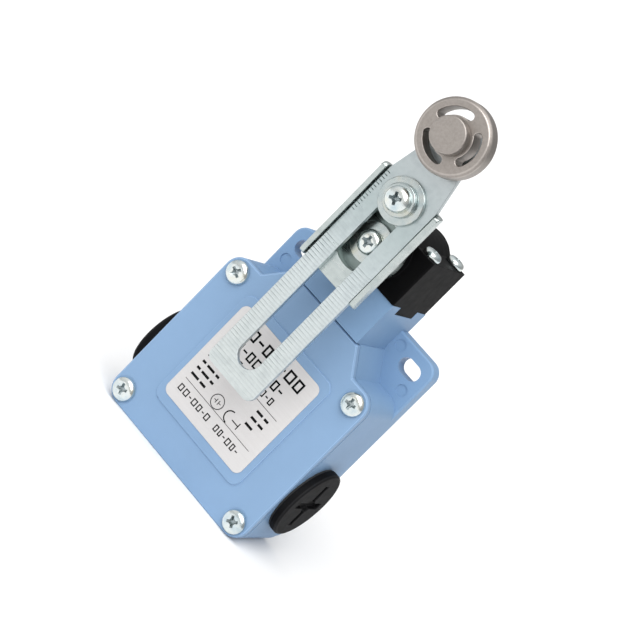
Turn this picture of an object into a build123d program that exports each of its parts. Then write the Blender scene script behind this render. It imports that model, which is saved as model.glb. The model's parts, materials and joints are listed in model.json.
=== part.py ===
"""Roller-lever limit switch: die-cast body, turret head, adjustable roller lever and contact block.

Millimetres. +X is to the right, -Y to the front, +Z up. The origin is midway between the
two mounting slots, on the back face. Heights are written from the body's bottom edge and
turned into Z by at().
"""
from build123d import *
from math import asin, atan2, cos, radians, sin
import os

os.makedirs("parts", exist_ok=True)

# ---- overall -------------------------------------------------------------------------------
body_width = 58.0
body_height = 54.5
body_depth = 25.8          # back face to the cover's front face
corner_r = 5.0
corner_relief = 1.2        # extra corner radius of the casting, under the cover
wall = 2.6
back_wall = 3.0

# ---- mounting ears -------------------------------------------------------------------------
slot_height = 63.3         # slot centres above the bottom edge
slot_spacing = 45.0
slot_width = 4.8
slot_length = 7.4
ear_top = 68.9
ear_thick = 5.0
ear_corner_r = 4.0
pip_r = 1.7                # shallow round marks beside each slot
pip_depth = 0.3
pip_places = ((16.0, 65.9), (25.2, 57.8))    # half spacing, height
ear_edge = 0.5             # chamfer along the ears' front edge

# ---- shoulders and neck --------------------------------------------------------------------
shoulder_low = 19.4        # half width where the shoulder leaves the body
shoulder_high = 13.7       # half width at the shoulder's top
shoulder_top = 61.7
neck_half = 13.35
neck_top = 75.7
neck_proud = 0.3           # neck's front beyond the cover's
parting_gap = 0.35         # cover edge to neck

# ---- cover ---------------------------------------------------------------------------------
cover_thick = 2.2
gasket_thick = 0.4
panel_raise = 0.45
panel_half = 18.0
panel_low = 10.2
panel_high = 49.2
panel_corner_r = 3.0
label_thick = 0.2
label_width = 32.5
label_height = 33.4
label_corner_r = 2.2
label_x = -0.2
label_mid = 29.75
cover_screw_x = 24.5
cover_screw_low = 4.4
cover_screw_high = 50.0
cover_screw_r = 1.75
cover_screw_length = 17.4
cover_head_r = 3.4
cover_head_h = 1.9
spotface_r = 3.75
spotface_depth = 0.1
boss_r = 4.6

# ---- conduit entries -----------------------------------------------------------------------
entry_height = 19.0
entry_y = -12.5
entry_r = 9.05
entry_boss_r = 10.6
entry_boss_in = 2.4
plug_r = 11.5
plug_out = 3.1             # plug face beyond the body's side
plug_shank_r = 9.0
plug_shank_in = 7.0
plug_slot_length = 15.0
plug_slot_width = 2.2
plug_slot_depth = 1.4
seal_thick = 0.5
seal_r = 11.2

# ---- head ----------------------------------------------------------------------------------
head_half = 13.35
head_front = -26.6
head_back = -0.2
head_shoulder = 91.2
shaft_height = 84.4
barrel_r = 9.8
boss_wall = 1.5            # round the shaft seal
front_boss_y = -30.6
lug_length = 13.2
lug_in = 3.0
lug_deep = 2.35
lug_clear = 0.12
head_screw_x = 10.1
head_screw_dy = 9.5
head_screw_r = 1.3
head_screw_length = 24.0
pan_r = 2.75
pan_h = 2.1
chamber_r = 7.0
chamber_front = -20.6
chamber_back = -6.0
ring_in = 6.2              # sealing ring under the head
ring_out = 7.6
ring_deep = 1.0
plunger_hole_r = 4.6

# ---- shaft and cam -------------------------------------------------------------------------
run = 0.05                 # running clearance on a radius
shaft_r = 5.0
journal_r = 3.5
cam_seat_r = 4.0
spigot_r = 3.0
shaft_rear = -2.4
rear_bush_wall = 1.5
rear_bush_back = -2.2
front_bush_wall = 0.95
seal_wall = 2.0
seal_back = -27.4
cam_r = 6.2
cam_flat = 3.6
cam_back = -9.0
cam_front = -17.6
cam_pin_r = 1.0
clip_back = -7.2
clip_front = -8.0
clip_r = 6.0

# ---- plunger -------------------------------------------------------------------------------
plunger_r = 2.5
plunger_head_r = 4.2
plunger_head_low = 74.8
cam_gap = 0.3              # cam heel to plunger
neck_bore_r = 5.55
guide_low = 58.9
guide_high = 66.0
guide_r = 5.5
spring_r = 3.6
spring_wire = 0.4
spring_turns = 5
stem_top = 49.3
stem_r = 2.9

# ---- contact block -------------------------------------------------------------------------
block_half = 17.0
block_low = 20.0
block_high = 48.0
block_back = -3.05
block_front = -17.5
wing_front = -15.0         # front of the terminal wings
wing_in = 12.3
chamber_half = 11.9
chamber_low = 25.0
chamber_high = 44.0
chamber_y = -6.5
lid_front = -19.4
carrier_half = 3.5
carrier_low = 28.0
carrier_high = 41.0
carrier_y = (-16.4, -10.0)
bridge_half = 10.5
bridge_thick = 0.8
bridge_y = (-14.6, -12.0)
nc_bridge = 38.0           # underside of the upper bridge
no_bridge = 31.0           # underside of the lower bridge
plunger_travel = 2.5
contact_gap = 0.06
strip_in = 7.5
terminal_x = 14.7
terminal_half = 2.2        # half width of the terminal plate
terminal_tall = 3.0        # half height of the terminal plate
terminal_thick = 0.8
terminal_screw_r = 1.25
terminal_head_r = 2.0
terminal_head_h = 1.5
terminal_screw_length = 7.0
clamp_plate_half = 2.1
clamp_plate_thick = 0.7
pocket_r = 2.2
pocket_top = 30.6
block_spring_r = 1.5
block_spring_wire = 0.3
block_spring_turns = 4
block_screw_x = 9.0
block_screw_r = 1.2
block_screw_head_r = 2.2
block_screw_head_h = 1.5
block_screw_low = 22.4
block_screw_high = 46.0
earth_x = 21.7
earth_height = 34.0
earth_boss_r = 3.4
earth_boss_y = -6.0
earth_screw_r = 1.5
earth_screw_length = 4.6
earth_head_r = 3.0
earth_head_h = 1.8
earth_washer_r = 3.3
earth_washer = 0.8

# ---- lever ---------------------------------------------------------------------------------
sheet = 1.5                # lever hub sheet
arm_front = -41.1
arm_thick = 1.8
slide_gap = 0.05
arm_half = 9.05
side_gap = 0.4
flange_out = 1.0           # flange edge in front of the arm's face
bend_in = 0.4
bend_out = 1.9
hub_low = 14.3             # below the shaft
hub_high = 18.3            # above the shaft
dish_r = 8.5
dish_floor = -35.1
dish_back = -33.6
screw_washer_r = 5.85
screw_washer = 1.0
shaft_screw_r = 1.6
shaft_screw_head_r = 3.5
shaft_screw_head_h = 2.4
shaft_screw_length = 9.0
clamp_rise = 14.2          # clamp screw above the shaft
clamp_r = 2.4
clamp_sleeve_r = 3.6
clamp_washer_r = 6.5
clamp_washer = 1.25
clamp_collar_r = 4.6
clamp_collar = 1.7
clamp_head_r = 3.55
clamp_head_h = 2.6
clamp_nut_half = 3.5
clamp_nut = 2.8

# ---- arm -----------------------------------------------------------------------------------
arm_slot_half = 3.75
arm_tail = 52.0            # below the shaft
arm_slot_tail = 46.6       # below the shaft
arm_corner_r = 2.4
arm_taper_start = 17.9     # above the shaft
arm_end_r = 5.2

# ---- roller --------------------------------------------------------------------------------
roller_rise = 35.75        # roller axis above the shaft
roller_r = 10.5
roller_front = -48.5
roller_back = -42.7
roller_chamfer = 0.8
roller_bore_r = 3.6
rivet_r = 2.5
rivet_head_r = 5.05
rivet_head_front = -52.3
rivet_tail_r = 4.0
rivet_tail = 1.2
kidney_mid_r = 6.8
kidney_half = 1.1
kidney_span = 69.0         # between the centres of a slot's round ends
kidney_first = 8.0


def at(height):
    """Z of a height above the body's bottom edge."""
    return height - slot_height


# ---- shape helpers -------------------------------------------------------------------------
def block(x, y, z):
    """Box from three (low, high) pairs."""
    size = [max(pair) - min(pair) for pair in (x, y, z)]
    middle = [(pair[0] + pair[1]) / 2 for pair in (x, y, z)]
    return Pos(*middle) * Box(*size)


def rod_x(y, z, ends, r):
    return Pos((ends[0] + ends[1]) / 2, y, z) * Rot(0, 90, 0) * Cylinder(r, abs(ends[1] - ends[0]))


def rod_y(x, z, ends, r):
    return Pos(x, (ends[0] + ends[1]) / 2, z) * Rot(90, 0, 0) * Cylinder(r, abs(ends[1] - ends[0]))


def rod_z(x, y, ends, r):
    return Pos(x, y, (ends[0] + ends[1]) / 2) * Cylinder(r, abs(ends[1] - ends[0]))


def slab(points, ends):
    """Flat outline in X and Z, from one Y to another."""
    wire = Wire.make_polygon([(x, ends[0], z) for x, z in points], close=True)
    return extrude(Face(wire), amount=abs(ends[1] - ends[0]), dir=(0, 1 if ends[1] > ends[0] else -1, 0))


def soft_block(x, y, z, r, corners="both"):
    """Box whose Y edges are rounded: both, low or high corners."""
    solid = block(x, y, z)
    middle = (z[0] + z[1]) / 2
    edges = solid.edges().filter_by(Axis.Y)
    if corners == "low":
        edges = edges.filter_by(lambda e: e.center().Z < middle)
    if corners == "high":
        edges = edges.filter_by(lambda e: e.center().Z > middle)
    return fillet(edges, r)


def pan_head(r, h):
    """Pan head on its seat at Z 0, with a cross recess, its crown up."""
    head = Cylinder(r, h, align=(Align.CENTER, Align.CENTER, Align.MIN))
    head = fillet(head.edges().sort_by(Axis.Z)[-1:], h * 0.6)
    depth = h * 0.6
    for turn in (0, 90):
        cut = Pos(0, 0, h - depth / 2) * Rot(0, 0, turn) * Box(r * 1.1, r * 0.26, depth)
        head -= cut
    return head


def screw(shank_r, length, head_r, head_h):
    """Pan-head screw: seat at Z 0, crown up, shank down."""
    shank = Cylinder(shank_r, length, align=(Align.CENTER, Align.CENTER, Align.MAX))
    shank = chamfer(shank.edges().sort_by(Axis.Z)[:1], shank_r * 0.35)
    return pan_head(head_r, head_h) + shank


def facing_front(solid, x, y, z):
    """Turn a piece made along +Z to point to the front, and put its seat at a point."""
    return Pos(x, y, z) * Rot(90, 0, 0) * solid


def coil(r, wire_r, low, high, turns, x, y):
    """Compression spring about a vertical axis, from one Z to another."""
    height = high - low - 2 * wire_r
    path = Helix(pitch=height / turns, height=height, radius=r)
    start = Plane(origin=path @ 0, z_dir=path % 0)
    wire = sweep(start * Circle(wire_r), path=path, is_frenet=True)
    return Pos(x, y, low + wire_r) * wire


def save(node, *solids):
    """Write one node. Several solids stay separate."""
    shape = solids[0] if len(solids) == 1 else Compound(children=list(solids))
    export_step(shape, f"parts/{node}.step")


# ---- body ----------------------------------------------------------------------------------
half_width = body_width / 2
shell_front = -(body_depth - cover_thick - gasket_thick)
cover_back = -(body_depth - cover_thick)
mid_y = (head_front + head_back) / 2
neck_depth = body_depth + neck_proud
cover_screw_places = [(x, h) for x in (-cover_screw_x, cover_screw_x)
                      for h in (cover_screw_low, cover_screw_high)]
head_screw_places = [(x, mid_y + dy) for x in (-head_screw_x, head_screw_x)
                     for dy in (-head_screw_dy, head_screw_dy)]
block_screw_places = [(-block_screw_x, block_screw_low), (block_screw_x, block_screw_high)]
cavity_half = half_width - wall


def shoulder(ends, inset=0.0):
    """Sloping shoulder between the body's top and the neck."""
    low = at(body_height - inset)
    high = at(shoulder_top - inset)
    points = [(-shoulder_low + inset, low), (-shoulder_high + inset, high),
              (shoulder_high - inset, high), (shoulder_low - inset, low)]
    return slab(points, ends)


def front_outline(ends, inset=0.0, relief=0.0):
    """The body's outline with its shoulder, shrunk by an inset, its corners eased by a relief."""
    x = (-half_width + inset, half_width - inset)
    corner = max(corner_r - inset, 0.5) + relief
    main = soft_block(x, ends, (at(inset), at(body_height - inset)), corner)
    return main + shoulder(ends, inset)


def make_housing():
    back = (0, shell_front)
    ear_z = (at(corner_r * 2), at(ear_top))
    ear = soft_block((-half_width, half_width), (0, -ear_thick), ear_z, ear_corner_r, "high")
    ear = chamfer(ear.faces().sort_by(Axis.Y)[0].edges(), ear_edge)
    shell = front_outline(back, relief=corner_relief) + ear
    neck = block((-neck_half, neck_half), (0, -neck_depth), (at(shoulder_top), at(neck_top)))
    rise = block((-neck_half, neck_half), (0, shell_front), (at(body_height), at(shoulder_top)))
    shell += neck + rise
    cavity = (-back_wall, shell_front)
    inner_z = (at(wall), at(body_height - wall))
    hollow = soft_block((-cavity_half, cavity_half), cavity, inner_z, corner_r - wall)
    hollow += shoulder(cavity, wall)
    pads = None
    for x, h in cover_screw_places:
        pad = rod_y(x, at(h), cavity, boss_r)
        pads = pad if pads is None else pads + pad
    for side in (-1, 1):
        entry = (side * (cavity_half - entry_boss_in), side * (half_width - wall / 2))
        pads += rod_x(entry_y, at(entry_height), entry, entry_boss_r)
    pads = pads & front_outline(back)
    shell = shell - hollow + pads
    shell += rod_y(earth_x, at(earth_height), (-back_wall, earth_boss_y), earth_boss_r)
    for x, h in cover_screw_places:
        shell -= rod_y(x, at(h), (shell_front, -back_wall - 1), cover_screw_r + run)
    for x, h in block_screw_places:
        shell -= rod_y(x, at(h), (-back_wall, -0.8), block_screw_r + run)
    shell -= rod_y(earth_x, at(earth_height), (earth_boss_y, -1.0), earth_screw_r + run)
    for side in (-1, 1):
        through = (side * (cavity_half - entry_boss_in - 1), side * (half_width + 1))
        shell -= rod_x(entry_y, at(entry_height), through, entry_r)
        shell -= mount_slot(side)
        for x, h in pip_places:
            shell -= rod_y(side * x, at(h), (-ear_thick, -ear_thick + pip_depth), pip_r)
        lug_x = (side * (neck_half - lug_in - lug_clear), side * (neck_half + 1))
        lug_y = (mid_y - lug_length / 2 - lug_clear, mid_y + lug_length / 2 + lug_clear)
        shell -= block(lug_x, lug_y, (at(neck_top - lug_deep - lug_clear), at(neck_top + 1)))
    shell -= rod_z(0, mid_y, (at(guide_low - 2), at(neck_top + 1)), neck_bore_r)
    for x, y in head_screw_places:
        low = at(head_shoulder) - head_screw_length - 1
        shell -= rod_z(x, y, (low, at(neck_top)), head_screw_r + run)
    return shell


def mount_slot(side):
    """Horizontal slot through an ear."""
    centre = side * slot_spacing / 2
    reach = (slot_length - slot_width) / 2
    cut = block((centre - reach, centre + reach), (1, -ear_thick - 1), (-slot_width / 2, slot_width / 2))
    for x in (centre - reach, centre + reach):
        cut += rod_y(x, 0, (1, -ear_thick - 1), slot_width / 2)
    return cut


def make_cover():
    plate = front_outline((cover_back, -body_depth))
    gap_z = (at(shoulder_top - parting_gap), at(shoulder_top + 1))
    gap = block((-half_width, half_width), (0, -body_depth - 1), gap_z)
    plate -= gap
    plate = chamfer(plate.faces().sort_by(Axis.Y)[0].edges(), 0.4)
    panel_z = (at(panel_low), at(panel_high))
    panel_y = (-body_depth, -body_depth - panel_raise)
    plate += soft_block((-panel_half, panel_half), panel_y, panel_z, panel_corner_r)
    for x, h in cover_screw_places:
        plate -= rod_y(x, at(h), (0, -body_depth - 1), cover_screw_r + 0.3)
        plate -= rod_y(x, at(h), (-body_depth + spotface_depth, -body_depth - 1), spotface_r)
    return plate


def make_cover_gasket():
    ends = (shell_front, cover_back)
    sheet_outline = front_outline(ends, 0.5)
    hole_z = (at(wall + 1), at(body_height - wall - 1))
    hole = soft_block((-cavity_half + 1.0, cavity_half - 1.0), ends, hole_z, 2.0)
    hole += shoulder(ends, wall + 1.0)
    for x, h in cover_screw_places:
        hole -= rod_y(x, at(h), ends, boss_r - 0.2)
    sheet_outline -= hole
    for x, h in cover_screw_places:
        sheet_outline -= rod_y(x, at(h), ends, cover_screw_r + 0.3)
    return sheet_outline


def make_cover_screws():
    seat = -body_depth + spotface_depth
    one = screw(cover_screw_r, cover_screw_length, cover_head_r, cover_head_h)
    return [facing_front(one, x, seat, at(h)) for x, h in cover_screw_places]


def make_label():
    x = (label_x - label_width / 2, label_x + label_width / 2)
    front = -body_depth - panel_raise
    z = (at(label_mid - label_height / 2), at(label_mid + label_height / 2))
    return soft_block(x, (front, front - label_thick), z, label_corner_r)


def make_plug(side):
    face = half_width + seal_thick
    cap = rod_x(entry_y, at(entry_height), (side * face, side * (half_width + plug_out)), plug_r)
    rim = cap.edges().sort_by(Axis.X)
    cap = chamfer(rim[-1:] if side > 0 else rim[:1], 0.5)
    tip = half_width - plug_shank_in
    shank = rod_x(entry_y, at(entry_height), (side * tip, side * face), plug_shank_r)
    shank -= rod_x(entry_y, at(entry_height), (side * (tip - 1), side * (face - 1)), plug_shank_r - 1.8)
    plug = cap + shank
    deep = (side * (half_width + plug_out - plug_slot_depth), side * (half_width + plug_out + 1))
    across = (plug_slot_width / 2, plug_slot_length / 2)
    for y_half, z_half in (across, across[::-1]):
        plug -= block(deep, (entry_y - y_half, entry_y + y_half),
                      (at(entry_height) - z_half, at(entry_height) + z_half))
    plug -= rod_x(entry_y, at(entry_height), deep, plug_slot_width * 1.15)
    return plug


def make_plug_seal(side):
    ends = (side * half_width, side * (half_width + seal_thick))
    ring = rod_x(entry_y, at(entry_height), ends, seal_r)
    return ring - rod_x(entry_y, at(entry_height), ends, plug_shank_r + run)


# ---- head ----------------------------------------------------------------------------------
shaft_z = at(shaft_height)
front_bush_r = shaft_r + run + front_bush_wall
rear_bush_r = journal_r + rear_bush_wall
seal_bore_r = shaft_r + seal_wall
front_boss_r = seal_bore_r + boss_wall


def make_head():
    y = (head_front, head_back)
    body = block((-head_half, head_half), y, (at(neck_top), at(head_shoulder)))
    body = fillet(body.edges().filter_by(Axis.Z), 0.6)
    barrel_z = (at(neck_top), shaft_z + barrel_r)
    body += rod_y(0, shaft_z, y, barrel_r) & block((-head_half, head_half), y, barrel_z)
    body += rod_y(0, shaft_z, (head_front, front_boss_y), front_boss_r)
    for side in (-1, 1):
        lug_x = (side * (head_half - lug_in), side * head_half)
        lug_y = (mid_y - lug_length / 2, mid_y + lug_length / 2)
        body += block(lug_x, lug_y, (at(neck_top - lug_deep), at(neck_top + 1)))
    body -= rod_y(0, shaft_z, (chamber_front, chamber_back), chamber_r)
    body -= rod_y(0, shaft_z, (chamber_front + 1, head_front), front_bush_r)
    body -= rod_y(0, shaft_z, (seal_back, front_boss_y - 1), seal_bore_r)
    body -= rod_y(0, shaft_z, (head_front + 1, seal_back), shaft_r + 0.3)
    body -= rod_y(0, shaft_z, (chamber_back - 1, rear_bush_back), rear_bush_r)
    body -= rod_z(0, mid_y, (at(neck_top) - 1, shaft_z), plunger_hole_r)
    groove = rod_z(0, mid_y, (at(neck_top), at(neck_top) + ring_deep), ring_out)
    body -= groove - rod_z(0, mid_y, (at(neck_top), at(neck_top) + ring_deep), ring_in)
    for x, y_screw in head_screw_places:
        body -= rod_z(x, y_screw, (at(neck_top) - 1, at(head_shoulder) + 1), head_screw_r + 0.2)
    return body


def make_head_ring():
    ends = (at(neck_top), at(neck_top) + ring_deep)
    return rod_z(0, mid_y, ends, ring_out - run) - rod_z(0, mid_y, ends, ring_in + run)


def make_head_screws():
    one = screw(head_screw_r, head_screw_length, pan_r, pan_h)
    return [Pos(x, y, at(head_shoulder)) * one for x, y in head_screw_places]


def make_front_bush():
    ends = (chamber_front - 0.1, head_front)
    return rod_y(0, shaft_z, ends, front_bush_r) - rod_y(0, shaft_z, ends, shaft_r + run)


def make_rear_bush():
    ends = (chamber_back, rear_bush_back)
    return rod_y(0, shaft_z, ends, rear_bush_r) - rod_y(0, shaft_z, ends, journal_r + run)


def make_shaft_seal():
    ends = (seal_back, front_boss_y + 0.1)
    return rod_y(0, shaft_z, ends, seal_bore_r) - rod_y(0, shaft_z, ends, shaft_r + run)


# ---- shaft body ----------------------------------------------------------------------------
spigot_front = dish_floor + 0.3


def make_shaft():
    shaft = rod_y(0, shaft_z, (chamber_front, dish_back + slide_gap), shaft_r)
    shaft += rod_y(0, shaft_z, (chamber_back, chamber_front), cam_seat_r)
    shaft += rod_y(0, shaft_z, (shaft_rear, chamber_back), journal_r)
    shaft += rod_y(0, shaft_z, (dish_back + slide_gap, spigot_front), spigot_r)
    bottom = spigot_front + shaft_screw_length + 1
    shaft -= rod_y(0, shaft_z, (spigot_front - 1, bottom), shaft_screw_r + run)
    middle = (cam_back + cam_front) / 2
    shaft -= rod_z(0, middle, (shaft_z - cam_r, shaft_z + cam_r), cam_pin_r + 0.02)
    return shaft


def make_cam():
    ends = (cam_back, cam_front)
    cam = rod_y(0, shaft_z, ends, cam_r)
    cam -= block((-cam_r, cam_r), ends, (shaft_z - cam_r - 1, shaft_z - cam_flat - 1))
    cam -= rod_y(0, shaft_z, ends, cam_seat_r + 0.02)
    middle = (cam_back + cam_front) / 2
    cam -= rod_z(0, middle, (shaft_z, shaft_z + cam_r + 1), cam_pin_r + 0.02)
    cam -= rod_z(0, middle, (shaft_z - cam_r - 1, shaft_z), cam_pin_r + 0.02)
    return cam


def make_cam_pin():
    middle = (cam_back + cam_front) / 2
    return rod_z(0, middle, (shaft_z - cam_flat - 0.8, shaft_z + cam_r - 0.3), cam_pin_r)


def make_shaft_clip():
    ends = (clip_back, clip_front)
    ring = rod_y(0, shaft_z, ends, clip_r) - rod_y(0, shaft_z, ends, cam_seat_r + 0.02)
    return ring - block((-1.6, 1.6), ends, (shaft_z + 1, shaft_z + clip_r + 1))


def make_shaft_screw():
    one = screw(shaft_screw_r, shaft_screw_length, shaft_screw_head_r, shaft_screw_head_h)
    return facing_front(one, 0, dish_floor - screw_washer - slide_gap, shaft_z)


def make_shaft_washer():
    back = dish_floor - slide_gap
    ends = (back, back - screw_washer)
    return rod_y(0, shaft_z, ends, screw_washer_r) - rod_y(0, shaft_z, ends, shaft_screw_r + 0.2)


# ---- plunger body --------------------------------------------------------------------------
plunger_top = shaft_z - cam_r - cam_gap


def make_plunger():
    head = rod_z(0, mid_y, (at(plunger_head_low), plunger_top), plunger_head_r)
    head = fillet(head.edges().sort_by(Axis.Z)[-1:], 0.8)
    return head + rod_z(0, mid_y, (at(stem_top), at(plunger_head_low)), plunger_r)


def make_plunger_guide():
    ends = (at(guide_low), at(guide_high))
    guide = rod_z(0, mid_y, ends, guide_r) - rod_z(0, mid_y, ends, plunger_r + run)
    return guide


def make_plunger_spring():
    return coil(spring_r, spring_wire, at(guide_high), at(plunger_head_low), spring_turns, 0, mid_y)


def make_carrier():
    x = (-carrier_half, carrier_half)
    body = block(x, carrier_y, (at(carrier_low), at(carrier_high)))
    body += rod_z(0, mid_y, (at(carrier_high), at(stem_top) - 0.02), stem_r)
    body -= rod_z(0, mid_y, (at(carrier_low - 1), at(pocket_top)), pocket_r)
    for height in (nc_bridge, no_bridge):
        window = (bridge_y[0] - 0.02, bridge_y[1] + 0.02)
        body -= block((-carrier_half - 1, carrier_half + 1), window,
                      (at(height) - 0.02, at(height) + bridge_thick + 0.02))
    return body


def make_bridges():
    pieces = []
    for height in (nc_bridge, no_bridge):
        x = (-bridge_half, bridge_half)
        pieces.append(block(x, bridge_y, (at(height), at(height) + bridge_thick)))
    return pieces


def make_block_spring():
    top = at(pocket_top)
    return coil(block_spring_r, block_spring_wire, at(chamber_low), top, block_spring_turns, 0, mid_y)


# ---- contact block -------------------------------------------------------------------------
def contact_levels():
    """Height of each fixed contact strip's underside: above the upper bridge, below the lower."""
    upper = nc_bridge + bridge_thick + contact_gap
    lower = no_bridge - plunger_travel - contact_gap - terminal_thick
    return (upper, lower)


def terminal_places():
    return [(side, level) for side in (-1, 1) for level in contact_levels()]


def strip(side, level, grow=0.0):
    """Fixed contact: a strip into the chamber and a terminal plate outside it."""
    low = at(level) - grow
    high = at(level) + terminal_thick + grow
    plate_x = sorted((side * (terminal_x - terminal_half - grow), side * (terminal_x + terminal_half + grow)))
    reach = sorted((side * strip_in, side * terminal_x))
    inner = block(reach, (wing_front - grow, bridge_y[1] + grow), (low, high))
    middle = (low + high) / 2
    plate = block(plate_x, (wing_front, wing_front - terminal_thick),
                  (middle - terminal_tall, middle + terminal_tall))
    return inner + plate


def make_block_base():
    x = (-block_half, block_half)
    z = (at(block_low), at(block_high))
    base = block(x, (block_back, block_front), z)
    chamber_z = (at(chamber_low), at(chamber_high))
    base -= block((-chamber_half, chamber_half), (chamber_y, block_front), chamber_z)
    for side in (-1, 1):
        wing = sorted((side * wing_in, side * (block_half + 1)))
        base -= block(wing, (wing_front, block_front), z)
    base -= rod_z(0, mid_y, (at(chamber_high - 1), at(block_high + 1)), stem_r + run)
    for side, level in terminal_places():
        base -= strip(side, level, 0.03)
        middle = at(level) + terminal_thick / 2
        screw_hole = (wing_front, wing_front + terminal_screw_length)
        base -= rod_y(side * terminal_x, middle, screw_hole, terminal_screw_r + run)
    for x_screw, h in block_screw_places:
        base -= rod_y(x_screw, at(h), (0, block_front - 1), block_screw_r + 0.15)
    return base


def make_block_lid():
    ends = (block_front, lid_front)
    lid = block((-chamber_half, chamber_half), ends, (at(block_low), at(block_high)))
    for x, h in block_screw_places:
        lid -= rod_y(x, at(h), ends, block_screw_r + 0.15)
    return lid


def make_fixed_contacts():
    pieces = []
    for side, level in terminal_places():
        middle = at(level) + terminal_thick / 2
        piece = strip(side, level)
        piece -= rod_y(side * terminal_x, middle, (0, wing_front - 2), terminal_screw_r + 0.1)
        pieces.append(piece)
    return pieces


def make_terminal_clamps():
    pieces = []
    back = wing_front - terminal_thick
    for side, level in terminal_places():
        middle = at(level) + terminal_thick / 2
        x = sorted((side * (terminal_x - clamp_plate_half), side * (terminal_x + clamp_plate_half)))
        z = (middle - clamp_plate_half, middle + clamp_plate_half)
        piece = block(x, (back, back - clamp_plate_thick), z)
        pieces.append(piece - rod_y(side * terminal_x, middle, (back, back - 1), terminal_screw_r + 0.1))
    return pieces


def make_terminal_screws():
    seat = wing_front - terminal_thick - clamp_plate_thick
    one = screw(terminal_screw_r, terminal_screw_length, terminal_head_r, terminal_head_h)
    return [facing_front(one, side * terminal_x, seat, at(level) + terminal_thick / 2)
            for side, level in terminal_places()]


def make_block_screws():
    one = screw(block_screw_r, abs(lid_front) - 1.0, block_screw_head_r, block_screw_head_h)
    return [facing_front(one, x, lid_front, at(h)) for x, h in block_screw_places]


def make_earth_screw():
    one = screw(earth_screw_r, earth_screw_length, earth_head_r, earth_head_h)
    return facing_front(one, earth_x, earth_boss_y - earth_washer, at(earth_height))


def make_earth_clamp():
    ends = (earth_boss_y, earth_boss_y - earth_washer)
    ring = rod_y(earth_x, at(earth_height), ends, earth_washer_r)
    return ring - rod_y(earth_x, at(earth_height), ends, earth_screw_r + 0.15)


# ---- lever hub -----------------------------------------------------------------------------
arm_back = arm_front + arm_thick
web_front = arm_back + slide_gap
web_back = web_front + sheet
flange_in = arm_half + side_gap
flange_x = flange_in + sheet
flange_front = arm_front - flange_out
clamp_z = shaft_z + clamp_rise


def make_lever_hub():
    z = (shaft_z - hub_low, shaft_z + hub_high)
    channel = block((-flange_x, flange_x), (flange_front, web_back), z)
    rear = channel.edges().filter_by(Axis.Z).sort_by(Axis.Y)[-2:]
    channel = fillet(rear, bend_out)
    trough = block((-flange_in, flange_in), (flange_front - 1, web_front), (z[0] - 1, z[1] + 1))
    inside = trough.edges().filter_by(Axis.Z).sort_by(Axis.Y)[-2:]
    channel -= fillet(inside, bend_in)
    ends = channel.edges().filter_by(Axis.X)
    ends = ends.filter_by(lambda e: abs(e.center().Y - flange_front) < 0.01)
    channel = fillet(ends, 1.4)
    channel += rod_y(0, shaft_z, (web_back, dish_back), dish_r + sheet)
    channel -= rod_y(0, shaft_z, (web_front - 1, dish_floor), dish_r)
    channel -= rod_y(0, shaft_z, (dish_floor - 1, dish_back + 1), spigot_r + run)
    channel -= rod_y(0, clamp_z, (web_front - 1, web_back + 1), clamp_r + 0.1)
    return channel


def ring_y(z, ends, outer, inner):
    return rod_y(0, z, ends, outer) - rod_y(0, z, ends, inner)


def make_clamp_washer():
    back = arm_front - slide_gap
    return ring_y(clamp_z, (back, back - clamp_washer), clamp_washer_r, clamp_r + 0.1)


def make_clamp_collar():
    back = arm_front - slide_gap - clamp_washer
    ring = ring_y(clamp_z, (back, back - clamp_collar), clamp_collar_r, clamp_r + 0.1)
    return chamfer(ring.edges().filter_by(GeomType.CIRCLE).sort_by(Axis.Y)[0:1], 0.3)


def make_clamp_screw():
    seat = arm_front - slide_gap - clamp_washer - clamp_collar
    length = abs(seat - web_back) + clamp_nut + 1.2
    one = screw(clamp_r, length, clamp_head_r, clamp_head_h)
    return facing_front(one, 0, seat, clamp_z)


def make_clamp_sleeve():
    ends = (arm_front - slide_gap, web_front)
    return ring_y(clamp_z, ends, clamp_sleeve_r, clamp_r + 0.1)


def make_clamp_nut():
    ends = (web_back, web_back + clamp_nut)
    z = (clamp_z - clamp_nut_half, clamp_z + clamp_nut_half)
    nut = block((-clamp_nut_half, clamp_nut_half), ends, z)
    return nut - rod_y(0, clamp_z, ends, clamp_r + run)


# ---- arm -----------------------------------------------------------------------------------
roller_z = shaft_z + roller_rise


def arm_outline(ends):
    """Parallel tail that narrows, tangent to the round end about the roller's axis."""
    start = (arm_half, shaft_z + arm_taper_start)
    centre = Vector(0, 0, roller_z)
    corner = Vector(start[0], 0, start[1])
    gap = centre - corner
    lean = asin(arm_end_r / gap.length)
    base = atan2(gap.Z, gap.X)
    angle = base - lean
    reach = (gap.length ** 2 - arm_end_r ** 2) ** 0.5
    touch_x = start[0] + reach * cos(angle)
    touch_z = start[1] + reach * sin(angle)
    tail = shaft_z - arm_tail
    points = [(-start[0], tail), (start[0], tail), start,
              (touch_x, touch_z), (-touch_x, touch_z), (-start[0], start[1])]
    return slab(points, ends) + rod_y(0, roller_z, ends, arm_end_r)


def make_arm():
    ends = (arm_front, arm_back)
    arm = arm_outline(ends)
    low = shaft_z - arm_tail + 0.01
    tail = arm.edges().filter_by(Axis.Y).filter_by(lambda e: e.center().Z < low)
    arm = fillet(tail, arm_corner_r)
    slot_low = shaft_z - arm_slot_tail + arm_slot_half
    slot_high = clamp_z + arm_slot_half - clamp_sleeve_r
    cut = block((-arm_slot_half, arm_slot_half), ends, (slot_low, slot_high))
    for z in (slot_low, slot_high):
        cut += rod_y(0, z, ends, arm_slot_half)
    arm -= cut
    return arm - rod_y(0, roller_z, ends, rivet_r + 0.02)


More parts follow.
